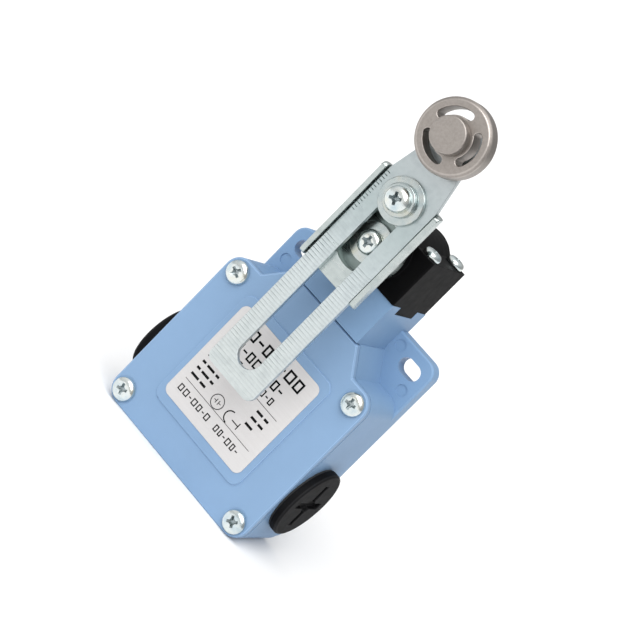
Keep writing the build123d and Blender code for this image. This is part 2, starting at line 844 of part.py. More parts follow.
def make_rivet():
    shank = rod_y(0, roller_z, (rivet_head_front + 2, arm_back), rivet_r)
    head = rod_y(0, roller_z, (roller_front - 0.15, rivet_head_front), rivet_head_r)
    head = fillet(head.edges().filter_by(GeomType.CIRCLE).sort_by(Axis.Y)[:1], 0.5)
    tail = rod_y(0, roller_z, (arm_back, arm_back + rivet_tail), rivet_tail_r)
    tail = fillet(tail.edges().filter_by(GeomType.CIRCLE).sort_by(Axis.Y)[-1:], 0.7)
    return head + shank + tail


def make_roller_spacer():
    ends = (arm_front, roller_back + 0.1)
    return ring_y(roller_z, ends, rivet_head_r, rivet_r + 0.02)


# ---- roller --------------------------------------------------------------------------------
def make_roller():
    roller = rod_y(0, roller_z, (roller_front, roller_back), roller_r)
    roller = chamfer(roller.edges().filter_by(GeomType.CIRCLE), roller_chamfer)
    roller -= rod_y(0, roller_z, (roller_front - 1, roller_back + 1), roller_bore_r)
    for number in range(3):
        roller -= kidney(kidney_first + number * 120)
    return roller


def kidney(turn):
    """Curved slot with round ends, centred on a direction from the roller's axis."""
    ends = (roller_front - 1, roller_back + 1)
    outer = kidney_mid_r + kidney_half
    ring = ring_y(roller_z, ends, outer, kidney_mid_r - kidney_half)
    half = kidney_span / 2
    wedge = [(0, roller_z)]
    for angle in (turn - half, turn, turn + half):
        wedge.append((20 * cos(radians(angle)), roller_z + 20 * sin(radians(angle))))
    cut = ring & slab(wedge, ends)
    for angle in (turn - half, turn + half):
        x = kidney_mid_r * cos(radians(angle))
        z = roller_z + kidney_mid_r * sin(radians(angle))
        cut += rod_y(x, z, ends, kidney_half)
    return cut


def make_roller_bush():
    ends = (roller_front, roller_back)
    return ring_y(roller_z, ends, roller_bore_r, rivet_r + run)


# ---- write the nodes -----------------------------------------------------------------------
def main():
    save("housing", make_housing())
    save("cover", make_cover())
    save("cover_gasket", make_cover_gasket())
    save("cover_screws", *make_cover_screws())
    save("label_plate", make_label())
    for name, side in (("left", -1), ("right", 1)):
        save(f"conduit_plug_{name}", make_plug(side))
        save(f"plug_seal_{name}", make_plug_seal(side))
    save("head_body", make_head())
    save("head_ring_seal", make_head_ring())
    save("head_screws", *make_head_screws())
    save("front_bush", make_front_bush())
    save("rear_bush", make_rear_bush())
    save("shaft_seal", make_shaft_seal())
    save("lever_shaft", make_shaft())
    save("cam", make_cam())
    save("cam_pin", make_cam_pin())
    save("shaft_clip", make_shaft_clip())
    save("shaft_screw", make_shaft_screw())
    save("shaft_washer", make_shaft_washer())
    save("plunger", make_plunger())
    save("plunger_guide", make_plunger_guide())
    save("plunger_spring", make_plunger_spring())
    save("contact_carrier", make_carrier())
    save("contact_bridges", *make_bridges())
    save("block_spring", make_block_spring())
    save("block_base", make_block_base())
    save("block_lid", make_block_lid())
    save("block_screws", *make_block_screws())
    save("fixed_contacts", *make_fixed_contacts())
    save("terminal_clamps", *make_terminal_clamps())
    save("terminal_screws", *make_terminal_screws())
    save("earth_screw", make_earth_screw())
    save("earth_clamp", make_earth_clamp())
    save("lever_hub", make_lever_hub())
    save("clamp_washer", make_clamp_washer())
    save("clamp_collar", make_clamp_collar())
    save("clamp_screw", make_clamp_screw())
    save("clamp_sleeve", make_clamp_sleeve())
    save("clamp_nut", make_clamp_nut())
    save("adjusting_arm", make_arm())
    save("roller_rivet", make_rivet())
    save("roller_spacer", make_roller_spacer())
    save("roller", make_roller())
    save("roller_bush", make_roller_bush())


main()
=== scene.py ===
"""Looks of the limit switch: painted castings, pressed zinc lever, sintered roller, printed label.

Metres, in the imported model's frame. Lengths below are written in millimetres and turned into
metres by MM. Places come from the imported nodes' boxes.
"""
import bmesh
import bpy
import json
import math
from mathutils import Matrix, Vector

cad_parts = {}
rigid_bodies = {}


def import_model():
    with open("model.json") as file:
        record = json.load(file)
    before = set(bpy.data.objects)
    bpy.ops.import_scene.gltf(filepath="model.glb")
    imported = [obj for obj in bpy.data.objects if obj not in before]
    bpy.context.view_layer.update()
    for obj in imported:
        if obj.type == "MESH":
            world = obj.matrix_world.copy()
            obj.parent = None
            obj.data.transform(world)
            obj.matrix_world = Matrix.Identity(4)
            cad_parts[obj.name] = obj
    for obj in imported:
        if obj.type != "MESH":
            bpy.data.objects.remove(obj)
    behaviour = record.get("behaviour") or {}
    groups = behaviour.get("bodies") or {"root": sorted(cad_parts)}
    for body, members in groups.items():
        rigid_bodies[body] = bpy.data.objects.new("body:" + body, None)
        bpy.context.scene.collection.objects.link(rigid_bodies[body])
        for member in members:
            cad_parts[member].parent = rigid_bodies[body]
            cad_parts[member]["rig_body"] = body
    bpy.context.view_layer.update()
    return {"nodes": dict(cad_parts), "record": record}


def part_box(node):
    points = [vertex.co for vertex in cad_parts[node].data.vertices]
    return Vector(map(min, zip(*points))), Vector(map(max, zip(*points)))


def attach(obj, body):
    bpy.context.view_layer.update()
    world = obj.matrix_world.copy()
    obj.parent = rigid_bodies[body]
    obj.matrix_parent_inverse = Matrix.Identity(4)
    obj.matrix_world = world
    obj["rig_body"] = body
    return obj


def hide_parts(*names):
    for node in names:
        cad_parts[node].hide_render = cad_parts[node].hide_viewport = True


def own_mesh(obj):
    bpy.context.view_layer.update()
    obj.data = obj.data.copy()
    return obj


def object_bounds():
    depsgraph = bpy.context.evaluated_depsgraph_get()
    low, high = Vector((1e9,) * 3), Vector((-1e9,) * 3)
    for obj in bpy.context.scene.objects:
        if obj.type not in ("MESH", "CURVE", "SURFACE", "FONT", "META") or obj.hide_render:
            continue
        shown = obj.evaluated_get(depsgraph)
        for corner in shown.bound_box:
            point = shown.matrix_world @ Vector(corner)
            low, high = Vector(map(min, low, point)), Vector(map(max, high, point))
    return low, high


MM = 0.001

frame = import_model()

# ---- camera --------------------------------------------------------------------------------
CAMERA_YAW = 18.8           # degrees to the right of the front
CAMERA_PITCH = 11.96        # degrees above
CAMERA_ROLL = 44.72         # degrees, the object turned clockwise in the picture
CAMERA_DISTANCE = 632.2 * MM
CAMERA_LENS = 132.68
CAMERA_SENSOR = 36.0
CAMERA_TARGET = Vector((-0.42, -20.0, -6.22)) * MM

# ---- mesh settings -------------------------------------------------------------------------
WELD = 0.0005 * MM          # corners closer than this are one corner
FLAT = 0.4                  # degrees, faces that meet flatter than this are one face
CORNER = 28.0               # degrees, edges sharper than this are rounded
FACING_FRONT = Matrix.Rotation(math.radians(90), 4, "X")


# ---- places read from the frame ------------------------------------------------------------
def middle(node):
    low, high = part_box(node)
    return (low + high) / 2


SHAFT = middle("lever_shaft")


# ---- material helpers ----------------------------------------------------------------------
class Nodes:
    """A material's node tree, with its shader and its object coordinates."""

    def __init__(self, name):
        self.material = bpy.data.materials.new(name)
        self.material.use_nodes = True
        self.tree = self.material.node_tree
        self.shader = self.tree.nodes["Principled BSDF"]
        self.coords = self.tree.nodes.new("ShaderNodeTexCoord")

    def add(self, kind, **sockets):
        node = self.tree.nodes.new(kind)
        for name, value in sockets.items():
            node.inputs[name.replace("_", " ")].default_value = value
        return node

    def link(self, source, output, target, socket):
        self.tree.links.new(source.outputs[output], target.inputs[socket])

    def set(self, **sockets):
        """Values that are the same all over the surface, on the shader's own sockets."""
        for name, value in sockets.items():
            self.shader.inputs[name.replace("_", " ")].default_value = value

    def stretched(self, scale):
        """Object coordinates scaled along each axis."""
        mapping = self.add("ShaderNodeMapping", Scale=scale)
        self.link(self.coords, "Object", mapping, "Vector")
        return mapping

    def noise(self, scale, detail=3.0, roughness=0.55, source=None):
        node = self.add("ShaderNodeTexNoise", Scale=scale, Detail=detail, Roughness=roughness)
        if source is None:
            self.link(self.coords, "Object", node, "Vector")
        else:
            self.link(source, "Vector", node, "Vector")
        return node

    def ramp(self, source, output, stops):
        """Colours along a value, from (place, colour) stops."""
        node = self.add("ShaderNodeValToRGB")
        ramp = node.color_ramp
        while len(ramp.elements) < len(stops):
            ramp.elements.new(0.5)
        for element, (place, colour) in zip(ramp.elements, stops):
            element.position = place
            element.color = (*colour, 1.0)
        self.link(source, output, node, "Fac")
        return node

    def remap(self, source, output, low, high, low_in=0.0, high_in=1.0):
        """A value's range turned into another."""
        node = self.add("ShaderNodeMapRange", From_Min=low_in, From_Max=high_in,
                        To_Min=low, To_Max=high)
        self.link(source, output, node, "Value")
        return node

    def tinted(self, colour, tone):
        """One ramp's colour multiplied by another's."""
        node = self.add("ShaderNodeMix")
        node.data_type = "RGBA"
        node.blend_type = "MULTIPLY"
        node.inputs[0].default_value = 1.0
        self.link(colour, "Color", node, 6)
        self.link(tone, "Color", node, 7)
        return node

    def bump(self, source, strength, distance, under=None):
        """Relief from a noise, in millimetres, over another relief."""
        node = self.add("ShaderNodeBump", Strength=strength, Distance=distance * MM)
        self.link(source, "Fac", node, "Height")
        if under is not None:
            self.link(under, "Normal", node, "Normal")
        return node

    def finished(self, colour, rough, relief, output="Color", **sockets):
        """The material, with its colour, gloss and relief joined to the shader."""
        self.link(colour, output, self.shader, "Base Color")
        self.link(rough, "Result", self.shader, "Roughness")
        self.link(relief, "Normal", self.shader, "Normal")
        self.set(**sockets)
        return self.material


def toned(colour, factor, lift=0.0):
    """A colour made darker or paler."""
    return tuple(min(1.0, c * factor + lift) for c in colour)


# ---- kinds of material ---------------------------------------------------------------------
def paint(name, base):
    """Enamel over a casting: slight colour clouds, orange peel and a soft cast surface below."""
    m = Nodes(name)
    clouds = m.noise(55.0, detail=4.0)
    colour = m.ramp(clouds, "Fac", [(0.3, toned(base, 0.94)), (0.7, base)])
    rough = m.remap(m.noise(700.0, detail=2.0), "Fac", 0.37, 0.49)
    peel = m.bump(m.noise(950.0, detail=2.0), strength=0.10, distance=0.06)
    cast = m.bump(m.noise(120.0, detail=2.0), strength=0.12, distance=0.12, under=peel)
    return m.finished(colour, rough, cast, Specular_IOR_Level=0.22)


def moulded(name, base, grain=900.0, gloss=0.52, strength=0.18, specular=0.05):
    """Moulded plastic or satin black enamel with a fine spark-eroded grain."""
    m = Nodes(name)
    colour = m.ramp(m.noise(90.0), "Fac", [(0.35, base), (0.75, toned(base, 1.4, 0.001))])
    rough = m.remap(m.noise(500.0, detail=2.0), "Fac", gloss - 0.06, gloss + 0.08)
    relief = m.bump(m.noise(grain), strength, distance=0.05)
    return m.finished(colour, rough, relief, Specular_IOR_Level=specular)


def plated(name, bright, dull, gloss, grain=(60.0, 60.0, 900.0), warm=None, fade=None):
    """Zinc plate: blotches from dull through bright to warm, drawn grain and slightly uneven gloss.

    gloss is (lowest, highest) roughness. fade is (axis, from, to, tones), a tone that multiplies
    the colour along the piece; the tones are ramp stops.
    """
    m = Nodes(name)
    blotches = m.noise(240.0, detail=5.0, roughness=0.6)
    colour = m.ramp(blotches, "Fac", [(0.32, dull), (0.52, bright), (0.72, warm or dull)])
    output = "Color"
    if fade is not None:
        axis, low, high, tones = fade
        split = m.add("ShaderNodeSeparateXYZ")
        m.link(m.coords, "Object", split, "Vector")
        along = m.remap(split, axis, 0.0, 1.0, low, high)
        colour, output = m.tinted(colour, m.ramp(along, "Result", tones)), 2
    lines = m.noise(1.0, detail=4.0, roughness=0.6, source=m.stretched(grain))
    rough = m.remap(lines, "Fac", *gloss, 0.3, 0.7)
    pits = m.bump(m.noise(1400.0, detail=2.0), strength=0.06, distance=0.03)
    relief = m.bump(lines, strength=0.10, distance=0.04, under=pits)
    return m.finished(colour, rough, relief, output, Metallic=1.0)


def sintered(name, base, gloss=0.46):
    """Sintered metal: fine pores, satin."""
    m = Nodes(name)
    pores = m.noise(1500.0, detail=4.0, roughness=0.7)
    colour = m.ramp(pores, "Fac", [(0.35, toned(base, 0.86)), (0.6, base)])
    rough = m.remap(m.noise(300.0), "Fac", gloss - 0.06, gloss + 0.06)
    relief = m.bump(pores, strength=0.16, distance=0.03)
    return m.finished(colour, rough, relief, Metallic=1.0)


def foil(name, base, dark):
    """Satin foil with a very fine brushed grain across it."""
    m = Nodes(name)
    lines = m.noise(1.0, roughness=0.6, source=m.stretched((40.0, 40.0, 2500.0)))
    colour = m.ramp(lines, "Fac", [(0.3, dark), (0.7, base)])
    rough = m.remap(lines, "Fac", 0.34, 0.46)
    relief = m.bump(lines, strength=0.03, distance=0.02)
    return m.finished(colour, rough, relief, Metallic=0.12, Specular_IOR_Level=0.4)


def rubber(name, base):
    """Dull rubber with a coarse grain."""
    m = Nodes(name)
    grain = m.noise(600.0)
    colour = m.ramp(grain, "Fac", [(0.3, base), (0.8, toned(base, 1.8, 0.01))])
    rough = m.remap(grain, "Fac", 0.62, 0.78)
    return m.finished(colour, rough, m.bump(grain, strength=0.3, distance=0.05))


# ---- the switch's materials ----------------------------------------------------------------
BODY_BLUE = (0.205, 0.335, 0.520)
COVER_BLUE = (0.214, 0.336, 0.510)
HEAD_BLACK = (0.0024, 0.0024, 0.0026)
PLUG_BLACK = (0.0045, 0.0045, 0.005)
SINTER = (0.362, 0.330, 0.305)
NO_GRAIN = (500.0, 500.0, 500.0)

# tones along the arm, from its tail to beside the clamp, and along the hub, from its back; the
# hub's, darker towards its back, are painted shade and painted dark reflection
ARM_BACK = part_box("adjusting_arm")[1].y
ARM_FADE = ("Z", SHAFT.z - 45 * MM, SHAFT.z + 26 * MM,
            [(0.0, (0.88, 0.88, 0.88)), (0.45, (0.86, 0.88, 0.90)),
             (0.75, (0.64, 0.69, 0.70)), (1.0, (0.70, 0.71, 0.73))])
HUB_PAINTED_SHADE = ("Y", ARM_BACK + 0.2 * MM, ARM_BACK + 3.8 * MM,
            [(0.0, (1.0, 1.0, 1.0)), (0.45, (1.0, 1.0, 1.0)), (1.0, (0.40, 0.44, 0.43))])

MATERIALS = {
    "body_paint": paint("body_paint", BODY_BLUE),
    "cover_paint": paint("cover_paint", COVER_BLUE),
    "head_black": moulded("head_black", HEAD_BLACK),
    "plug_black": moulded("plug_black", PLUG_BLACK, grain=700.0, gloss=0.55, strength=0.25),
    "gasket_rubber": rubber("gasket_rubber", (0.012, 0.012, 0.012)),
    "label_foil": foil("label_foil", (0.60, 0.585, 0.58), dark=(0.57, 0.555, 0.55)),
    "zinc_screws": plated("zinc_screws", (0.74, 0.78, 0.76), dull=(0.52, 0.62, 0.66),
                          gloss=(0.14, 0.28), grain=NO_GRAIN, warm=(0.74, 0.73, 0.62)),
    # the sheet turns darker towards the hub's back: painted shade and painted dark reflection
    "zinc_sheet": plated("zinc_sheet", (0.52, 0.57, 0.56), dull=(0.44, 0.49, 0.485),
                         gloss=(0.22, 0.36), fade=HUB_PAINTED_SHADE),
    "zinc_washers": plated("zinc_washers", (0.50, 0.54, 0.53), dull=(0.39, 0.46, 0.47),
                           gloss=(0.16, 0.30), grain=(300.0, 300.0, 300.0),
                           warm=(0.54, 0.54, 0.46)),
    "sintered_steel": sintered("sintered_steel", SINTER),
    "shaft_steel": plated("shaft_steel", (0.62, 0.63, 0.64), dull=(0.52, 0.53, 0.54),
                          gloss=(0.20, 0.32)),
    "bronze": sintered("bronze", (0.62, 0.44, 0.22)),
    "contact_brass": plated("contact_brass", (0.83, 0.64, 0.30), dull=(0.70, 0.52, 0.24),
                            gloss=(0.22, 0.35)),
    "block_plastic": moulded("block_plastic", (0.012, 0.012, 0.013)),
    "lid_plastic": moulded("lid_plastic", (0.42, 0.34, 0.20), specular=0.4),
    "carrier_plastic": moulded("carrier_plastic", (0.72, 0.70, 0.62), grain=500.0, gloss=0.35,
                               strength=0.08, specular=0.4),
    "spring_steel": plated("spring_steel", (0.58, 0.58, 0.60), dull=(0.48, 0.48, 0.50),
                           gloss=(0.22, 0.34)),
}
# finishes of single nodes or regions within a slot, and the painted shade in the screws' cross
# recesses
ARM_SHEET = plated("arm_sheet", (0.70, 0.75, 0.745), dull=(0.61, 0.66, 0.66),
                   gloss=(0.27, 0.42), fade=ARM_FADE)
RECESS_PAINTED_SHADE = plated("screw_recess_painted_shade", (0.42, 0.47, 0.48), dull=(0.32, 0.37, 0.38),
                gloss=(0.35, 0.5), grain=NO_GRAIN)
RIVET = sintered("rivet_face", (0.372, 0.340, 0.315))
# rounded edges, a little paler than the faces: painted highlights along them
EDGE_HIGHLIGHTS = {
    "body_paint": paint("body_paint_edge_highlights", toned(BODY_BLUE, 1.12, 0.015)),
    "cover_paint": paint("cover_paint_edge_highlights", toned(COVER_BLUE, 1.2, 0.02)),
    "head_black": moulded("head_black_edge_highlights", toned(HEAD_BLACK, 1.6, 0.003)),
    "plug_black": moulded("plug_black_edge_highlights", toned(PLUG_BLACK, 1.6, 0.003), grain=700.0,
                          strength=0.25, specular=0.08),
    "sintered_steel": sintered("sintered_edge_highlights", toned(SINTER, 1.2, 0.03), gloss=0.38),
}
SLOT_OF = {row["node"]: row["material_slot"] for row in frame["record"]["subparts"]}


def dress(obj, *materials):
    """Give an object these materials, in place of any it has. A bare mesh's faces keep theirs."""
    if obj.data.materials:
        obj.data.materials.clear()
    for material in materials:
        obj.data.materials.append(material)
    return obj


# ---- mesh helpers --------------------------------------------------------------------------
def new_object(name, data):
    obj = bpy.data.objects.new(name, data)
    bpy.context.scene.collection.objects.link(obj)
    return obj


def from_bmesh(name, bm):
    mesh = bpy.data.meshes.new(name)
    bm.normal_update()
    bm.to_mesh(mesh)
    bm.free()
    return new_object(name, mesh)


def closed(name, bm):
    """Object from closed meshes, with their faces turned outwards."""
    bmesh.ops.recalc_face_normals(bm, faces=bm.faces)
    return from_bmesh(name, bm)


def apply_modifiers(obj):
    """Replace the object's mesh with its evaluated one."""
    graph = bpy.context.evaluated_depsgraph_get()
    mesh = bpy.data.meshes.new_from_object(obj.evaluated_get(graph))
    obj.modifiers.clear()
    obj.data = mesh
    return obj


def shade(obj, angle=32.0):
    """Smooth shading, with edges sharper than an angle kept sharp."""
    obj.data.shade_smooth()
    obj.data.set_sharp_from_angle(angle=math.radians(angle))
    return obj


def even_normals(obj):
    """Flat faces stay flat in shade; only their rounded edges turn."""
    weighted = obj.modifiers.new("normals", "WEIGHTED_NORMAL")
    weighted.keep_sharp = True
    weighted.weight = 90
    return apply_modifiers(obj)


def welded(node):
    """A CAD node's mesh with its faces joined up."""
    bm = bmesh.new()
    bm.from_mesh(frame["nodes"][node].data)
    bmesh.ops.remove_doubles(bm, verts=bm.verts, dist=WELD)
    return bm


def clean_copy(node, whole=True):
    """A copy of a CAD node, with whole flat faces unless they are kept as triangles."""
    bm = welded(node)
    if whole:
        flat = math.radians(FLAT)
        bmesh.ops.dissolve_limit(bm, angle_limit=flat, verts=bm.verts, edges=bm.edges)
    return from_bmesh(node + "_finished", bm)


def break_edges(obj, width, segments, angle=CORNER, material=-1, clamp=True):
    """Round the edges sharper than an angle, by a width in millimetres."""
    bevel = obj.modifiers.new("edges", "BEVEL")
    bevel.width = width * MM
    bevel.segments = segments
    bevel.limit_method = "ANGLE"
    bevel.angle_limit = math.radians(angle)
    bevel.use_clamp_overlap = clamp
    bevel.material = material
    return apply_modifiers(obj)


def stand_for(obj, node):
    """Put a finished piece on its node's body, with the node's material, in the node's place."""
    body = frame["nodes"][node]["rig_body"]
    slot = SLOT_OF[node]
    if not obj.data.materials:
        dress(obj, MATERIALS[slot])
    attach(obj, body)
    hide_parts(node)
    return obj


def soften(node, width, segments, material=None, whole=True, clamp=True):
    """A copy of a CAD node with its edges rounded, which stands for the node.

    Without a material of its own, the piece takes its slot's, and paler edges, painted highlights,
    where there are any.
    clamp keeps every edge as narrow as the tightest one allows.
    """
    slot = SLOT_OF[node]
    obj = clean_copy(node, whole)
    # the paler second material goes on the rounded edges: painted highlight
    if material is None and slot in EDGE_HIGHLIGHTS:
        dress(obj, MATERIALS[slot], EDGE_HIGHLIGHTS[slot])
        break_edges(obj, width, segments, material=1, clamp=clamp)
    else:
        dress(obj, material or MATERIALS[slot])
        break_edges(obj, width, segments, clamp=clamp)
    return stand_for(even_normals(shade(obj)), node)


def on_circle(radius, step, steps):
    turn = 2 * math.pi * step / steps
    return radius * math.cos(turn), radius * math.sin(turn)


def revolve(profile, steps):
    """Solid of revolution about Z from (radius, height) points that start and end on the axis."""
    bm = bmesh.new()
    rings = []
    for radius, height in profile:
        count = steps if radius else 1
        rings.append([bm.verts.new((*on_circle(radius, i, steps), height)) for i in range(count)])
    for low, high in zip(rings, rings[1:]):
        for i in range(steps):
            j = (i + 1) % steps
            if len(low) == 1:
                bm.faces.new((low[0], high[i], high[j]))
            elif len(high) == 1:
                bm.faces.new((low[j], low[i], high[0]))
            else:
                bm.faces.new((low[i], low[j], high[j], high[i]))
    return bm


def prism(bm, near, far):
    """Add a closed solid between two loops of as many points each."""
    near, far = ([bm.verts.new(point) for point in loop] for loop in (near, far))
    for i in range(len(near)):
        j = (i + 1) % len(near)
        bm.faces.new((near[i], near[j], far[j], far[i]))
    bm.faces.new(near[::-1])
    bm.faces.new(far)


def subtract(obj, cutter):
    """Cut one object out of another and remove the cutter."""
    boolean = obj.modifiers.new("cut", "BOOLEAN")
    boolean.operation = "DIFFERENCE"
    boolean.solver = "EXACT"
    boolean.use_self = False
    boolean.object = cutter
    apply_modifiers(obj)
    mesh = cutter.data
    bpy.data.objects.remove(cutter)
    bpy.data.meshes.remove(mesh)
    return obj


# ---- screws --------------------------------------------------------------------------------
# a pan head from its seat to its crown, in parts of the head's radius and height
PAN_HEAD = ((0.965, 0.0), (1.0, 0.10), (1.0, 0.42), (0.93, 0.68),
            (0.80, 0.85), (0.62, 0.94), (0.40, 0.985), (0.0, 1.0))
HEAD_STEPS = 56
RECESS_DEEP = 0.62          # of the head's height
WING_TOP = (0.56, 0.135)    # half length and half thickness of the cross at its top, of the radius
WING_LOW = (0.22, 0.07)     # and at its bottom
WING_RISE = 0.2             # above the crown, so that it cuts cleanly
WELL_STEPS = 24
WELL_RISE = 0.1
SCREW_EDGE = 0.06
# faces this far under the crown take the darker recess material: painted shade
RECESS_RIM = 0.12           # deeper than this under the crown, a face is the recess's
RECESS_REACH = 2.2


def scaled(points):
    return [(a * MM, b * MM) for a, b in points]


def cross(radius, turn, top, low):
    """One tapered wing pair of a cross recess, all in millimetres."""
    spin = Matrix.Rotation(turn, 4, "Z")
    loops = []
    for height, (half, thick) in ((low, WING_LOW), (top, WING_TOP)):
        x, y = half * radius * MM, thick * radius * MM
        corners = ((-x, -y), (x, -y), (x, y), (-x, y))
        loops.append([spin @ Vector((*corner, height * MM)) for corner in corners])
    bm = bmesh.new()
    prism(bm, *loops)
    return closed("cross", bm)


def in_recess(dome, point):
    """Whether a point lies under the screw's crown by more than its edge break."""
    radius = math.hypot(point.x, point.y)
    for (outer, low), (inner, high) in zip(dome, dome[1:]):
        if inner <= radius <= outer:
            crown = low + (high - low) * (outer - radius) / (outer - inner)
            return 0 < crown - RECESS_RIM * MM - point.z < RECESS_REACH * MM
    return False


def screw_mesh(r, h, shank_r, length, turn):
    """Pan-head screw along +Z, seat at 0: domed crown, cross recess, chamfered tip."""
    head = [(r * a, h * b) for a, b in PAN_HEAD]
    tip = shank_r * 0.3
    shank = [(0, -length), (shank_r - tip, -length), (shank_r, tip - length), (shank_r, 0)]
    obj = closed("screw", revolve(scaled(shank + head), HEAD_STEPS))
    deep = h * RECESS_DEEP
    for quarter in (0, 1):
        subtract(obj, cross(r, turn + quarter * math.pi / 2, h + WING_RISE, h - deep))
    well = [(0, h - deep * 0.98), (r * 0.14, h - deep * 0.82),
            (r * 0.30, h + WELL_RISE), (0, h + WELL_RISE)]
    subtract(obj, closed("well", revolve(scaled(well), WELL_STEPS)))
    break_edges(obj, SCREW_EDGE, 2, 35.0)
    mesh = obj.data
    bpy.data.objects.remove(obj)
    dome = scaled((a, b) for a, b in head if b > h * 0.5)
    # faces in the recess take the second, darker material: painted shade
    for face in mesh.polygons:
        if in_recess(dome, face.center):
            face.material_index = 1
    return mesh


def islands(node):
    """The lowest and the highest corner of each of a node's separate solids."""
    bm = welded(node)
    seen, boxes = set(), []
    for first in bm.verts:
        if first in seen:
            continue
        stack, group = [first], []
        seen.add(first)
        while stack:
            vert = stack.pop()
            group.append(vert.co.copy())
            for edge in vert.link_edges:
                other = edge.other_vert(vert)
                if other not in seen:
                    seen.add(other)
                    stack.append(other)
        boxes.append([Vector([limit(p[i] for p in group) for i in range(3)])
                      for limit in (min, max)])
    bm.free()
    return boxes


def screws(node, head_r, head_h, shank_r, turns, up=False):
    """One object of detailed screws in the places of a node's solids, facing the front or up.

    Each screw's recess is turned by its own angle.
    """
    joined = bmesh.new()
    for (low, high), turn in zip(islands(node), turns):
        seat = (low + high) / 2
        if up:
            seat.z = high.z - head_h * MM
            length = (seat.z - low.z) / MM
            matrix = Matrix.Translation(seat)
        else:
            seat.y = low.y + head_h * MM
            length = (high.y - seat.y) / MM
            matrix = Matrix.Translation(seat) @ FACING_FRONT
        mesh = screw_mesh(head_r, head_h, shank_r, length, turn)
        mesh.transform(matrix)
        joined.from_mesh(mesh)
        bpy.data.meshes.remove(mesh)
    obj = from_bmesh(node + "_finished", joined)
    # the darker second material is painted shade in the cross recesses
    dress(obj, MATERIALS[SLOT_OF[node]], RECESS_PAINTED_SHADE)
    return stand_for(shade(obj, 38), node)


# ---- turned pieces -------------------------------------------------------------------------
RING_STEPS = 72
RIM_STEPS = 4               # faces round a rim's edge


def turned_ring(node, outer, inner, thick, edge):
    """Ring with rounded rims, facing the front from the node's back."""
    corners = [Vector(c) for c in ((inner, 0.0), (outer, 0.0), (outer, thick), (inner, thick))]
    outline = []
    for i, here in enumerate(corners):
        start = here + (corners[i - 1] - here).normalized() * edge
        end = here + (corners[(i + 1) % 4] - here).normalized() * edge
        for k in range(RIM_STEPS + 1):
            t = k / RIM_STEPS
            outline.append(start * (1 - t) ** 2 + here * 2 * t * (1 - t) + end * t ** 2)
    bm = bmesh.new()
    rings = [[bm.verts.new((*on_circle(p.x * MM, i, RING_STEPS), p.y * MM)) for p in outline]
             for i in range(RING_STEPS)]
    for i, ring in enumerate(rings):
        following = rings[(i + 1) % RING_STEPS]
        for k in range(len(outline)):
            n = (k + 1) % len(outline)
            bm.faces.new((ring[k], ring[n], following[n], following[k]))
    obj = closed(node + "_finished", bm)
    place = middle(node)
    place.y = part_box(node)[1].y
    obj.data.transform(Matrix.Translation(place) @ FACING_FRONT)
    return stand_for(shade(obj, 30), node)


# ---- arm with stamped grooves --------------------------------------------------------------
GROOVE_PITCH = 1.02
GROOVE_HALF = 0.30          # half width at the face
GROOVE_FLOOR = 0.3          # its floor's width, in parts of that
GROOVE_DEEP = 0.05
GROOVE_LIP = 0.02           # above the face, so that it cuts cleanly
GROOVES_FROM = -50.6        # first groove, from the shaft
GROOVES_FADE = -6.0         # from here they get shallower
GROOVES_TO = 3.0            # last full-width groove, with a quarter of the depth
TICKS_TO = 17.0             # last short groove, at the left edge only
TICK_LONG = 1.3
ARM_EDGE = 0.16


def make_arm():
    """The pressed arm with fine grooves stamped across the front of both legs."""
    low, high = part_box("adjusting_arm")
    arm = clean_copy("adjusting_arm")
    dress(arm, ARM_SHEET)
    break_edges(arm, ARM_EDGE, 2, 40.0)
    cutter = bmesh.new()
    half = GROOVE_HALF * MM
    lip = GROOVE_LIP * MM
    height = GROOVES_FROM
    while height < TICKS_TO:
        z = SHAFT.z + height * MM
        right = high.x + MM if height < GROOVES_TO else low.x + TICK_LONG * MM
        fading = (height - GROOVES_FADE) / (GROOVES_TO - GROOVES_FADE)
        floor = low.y + GROOVE_DEEP * MM * (1.0 - 0.75 * min(1.0, max(0.0, fading)))
        outline = ((low.y - lip, z - half - lip), (floor, z - half * GROOVE_FLOOR),
                   (floor, z + half * GROOVE_FLOOR), (low.y - lip, z + half + lip))
        prism(cutter, *([(x, *point) for point in outline] for x in (low.x - MM, right)))
        height += GROOVE_PITCH
    subtract(arm, closed("grooves", cutter))
    return stand_for(even_normals(shade(arm, 24)), "adjusting_arm")


# ---- label print, from the label's lower left corner ---------------------------------------
INK_PROUD = 0.012           # above the label's face
INK_SUNK = 0.02             # below it
# rows of hollow frames: left, bottom, height, gap, line width, widths
PRINT_FRAMES = (
    (3.2, 27.4, 3.4, 0.75, 0.62, (3.0, 2.6, 3.2, 2.2, 3.4, 2.4, 2.8, 2.6)),
    (3.4, 22.9, 2.9, 0.65, 0.52, (2.3, 1.8, 2.4, 2.0, 2.6, 1.7, 2.2, 1.9, 2.3)),
    (3.2, 19.5, 2.2, 0.55, 0.38,
     (1.5, 1.2, 1.7, 1.3, 1.0, 1.6, 1.2, 1.7, 1.0, 1.5, 1.2, 1.5, 1.3)),
    (2.8, 3.3, 2.0, 0.60, 0.34, (1.5, 1.6, 1.3, 1.6, 1.4, 1.2, 1.5)),
    (18.2, 3.3, 2.0, 0.60, 0.34, (1.3, 1.1, 1.3, 1.5, 1.2, 1.4)),
)
DASH = 0.6                  # of the width of the frame it stands for
# rows of short bars: left, bottom, widths
BAR_TALL = 0.75
BAR_GAP = 0.7
PRINT_BARS = (
    (2.6, 15.8, (2.6, 1.4, 3.2)), (2.6, 13.5, (1.3, 2.9, 1.3)),
    (2.6, 11.2, (1.3, 2.9, 1.3)), (2.6, 8.9, (3.0, 2.2)),
    (23.6, 15.8, (2.4, 1.6)), (23.6, 13.5, (2.2, 1.9)), (23.6, 11.2, (2.8,)),
)
